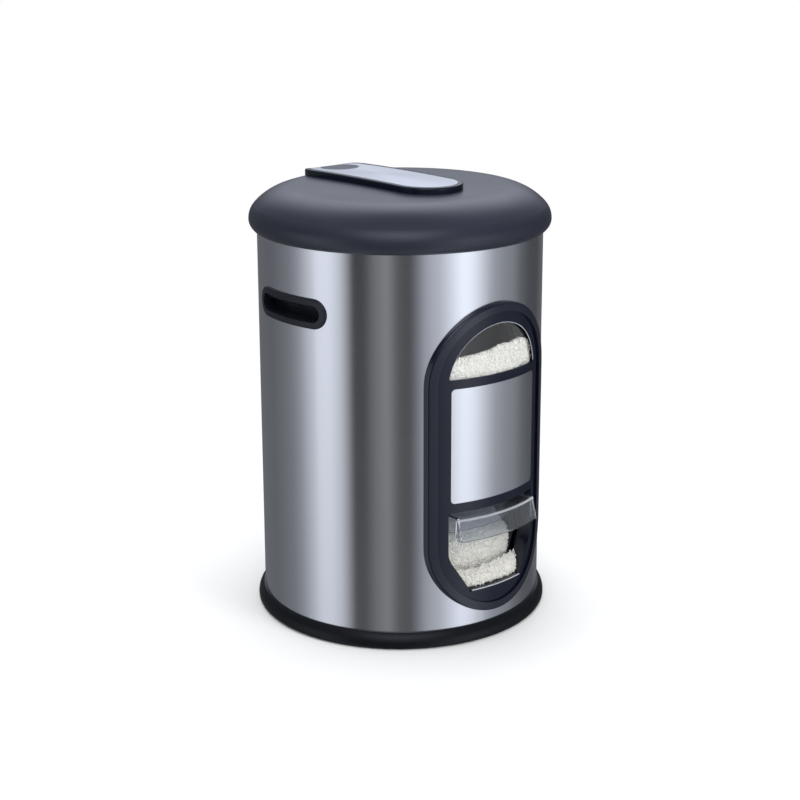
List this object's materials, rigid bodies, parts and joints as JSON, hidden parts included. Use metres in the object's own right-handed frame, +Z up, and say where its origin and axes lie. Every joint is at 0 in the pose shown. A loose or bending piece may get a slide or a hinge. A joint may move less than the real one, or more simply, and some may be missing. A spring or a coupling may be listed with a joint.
{
  "type": "rice dispenser",
  "caption": "Round brushed-steel rice bin with a hinged domed lid, an inner hopper, a sight window and a front scoop bay behind a sliding clear shutter.",
  "frame": {"origin": "on the floor, under the bin's axis, in the middle of the mat's underside", "axes": "+Z up along the bin's axis, -Y towards the front frame, +X towards the right-hand grip seen from the front"},
  "size_m": [0.3064, 0.3237, 0.4483],
  "materials": {
    "shell_steel": "brushed, fine grain round the bin",
    "satin_steel": "satin",
    "black_rubber": "matt",
    "base_plastic": "matt",
    "frame_plastic": "satin",
    "hopper_plastic": "matt",
    "clear_plastic": "clear, polished",
    "lid_plastic": "fine matt grain",
    "button_plastic": "satin",
    "hinge_steel": "satin",
    "screw_steel": "plated"
  },
  "bodies": {
    "body": {"outer_shell": "shell_steel", "front_plate": "shell_steel", "base_mat": "black_rubber", "window_gasket": "black_rubber", "base_tray": "base_plastic", "front_frame": "frame_plastic", "window_liner": "frame_plastic", "bay_liner": "frame_plastic", "left_grip_cup": "frame_plastic", "right_grip_cup": "frame_plastic", "inner_hopper": "hopper_plastic", "hopper_rim": "hopper_plastic", "hopper_chute": "hopper_plastic", "hopper_spout": "hopper_plastic", "feed_baffle": "hopper_plastic", "top_collar": "hopper_plastic", "guide_rail_left": "hopper_plastic", "guide_rail_right": "hopper_plastic", "sight_window": "clear_plastic", "hinge_bracket": "hinge_steel", "hinge_pin": "hinge_steel", "base_screws": "screw_steel", "frame_screws": "screw_steel", "rail_screws": "screw_steel", "baffle_screws": "screw_steel", "hinge_screws": "screw_steel", "hinge_nuts": "screw_steel"},
    "lid": {"lid_dome": "lid_plastic", "lid_inner": "lid_plastic", "lid_plug": "lid_plastic", "lid_gasket": "black_rubber", "lid_screws": "screw_steel", "strap_bezel": "frame_plastic", "strap_plate": "satin_steel", "button_spring": "hinge_steel"},
    "shutter": {"hatch_shutter": "clear_plastic"},
    "button": {"vent_button": "button_plastic"}
  },
  "joints": [
    {"name": "lid_hinge", "type": "hinge", "parent": "body", "child": "lid", "pos_m": [0, 0.16, 0.4], "axis": [-1, 0, 0], "range_deg": [0, 95]},
    {"name": "shutter_slide", "type": "slide", "parent": "body", "child": "shutter", "axis": [0, 0, 1], "range_m": [-0.053, 0]},
    {"name": "button_press", "type": "slide", "parent": "lid", "child": "button", "axis": [0, 0, -1], "range_m": [0, 0.0022], "stiffness_N_per_m": 300, "springref_m": -0.002, "deforming": ["button_spring"]}
  ]
}
